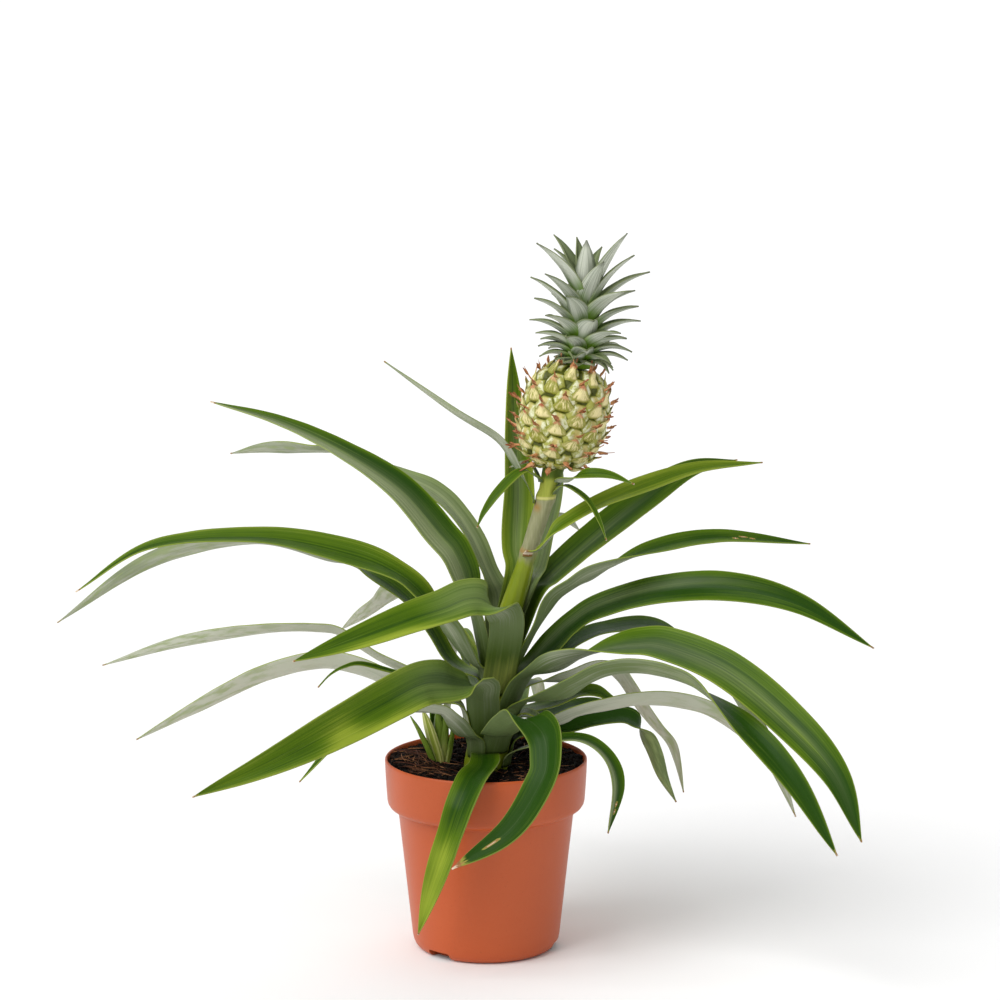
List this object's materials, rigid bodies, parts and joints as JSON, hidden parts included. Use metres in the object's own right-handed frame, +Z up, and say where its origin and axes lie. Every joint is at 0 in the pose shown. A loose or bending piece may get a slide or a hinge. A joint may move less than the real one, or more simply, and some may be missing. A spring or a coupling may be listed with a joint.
{
  "type": "potted pineapple plant",
  "caption": "Young ornamental pineapple plant with arching striped leaves and a small crowned fruit on its stalk, standing in a round terracotta-coloured nursery pot.",
  "frame": {"origin": "centre of the flat underside of the pot, where it meets the surface it stands on", "axes": "+Z is up; +X is to the right, along the widest spread of the leaves; -Y is the front, the side that the picture shows"},
  "size_m": [0.493, 0.362, 0.427],
  "materials": {
    "pot": "satin",
    "soil": "matte",
    "stem": "satin",
    "leaf": "satin",
    "bract": "satin",
    "shoot": "satin",
    "fruit": "satin",
    "crown": "satin"
  },
  "bodies": {
    "root": {"pot": "pot", "soil": "soil", "stem": "stem", "leaf_01": "leaf", "leaf_02": "leaf", "leaf_03": "leaf", "leaf_04": "leaf", "leaf_05": "leaf", "leaf_06": "leaf", "leaf_07": "leaf", "leaf_08": "leaf", "leaf_09": "leaf", "leaf_10": "leaf", "leaf_11": "leaf", "leaf_12": "leaf", "leaf_13": "leaf", "leaf_14": "leaf", "leaf_15": "leaf", "leaf_16": "leaf", "leaf_17": "leaf", "leaf_18": "leaf", "leaf_19": "leaf", "leaf_20": "leaf", "leaf_21": "leaf", "leaf_22": "leaf", "leaf_23": "leaf", "leaf_24": "leaf", "leaf_25": "leaf", "leaf_26": "leaf", "leaf_27": "leaf", "leaf_28": "leaf", "leaf_29": "leaf", "leaf_30": "leaf", "leaf_31": "leaf", "stalk_leaf_1": "leaf", "stalk_leaf_2": "leaf", "bract_1": "bract", "bract_2": "bract", "bract_3": "bract", "bract_4": "bract", "side_shoot": "shoot", "fruit": "fruit", "crown": "crown"}
  },
  "joints": []
}
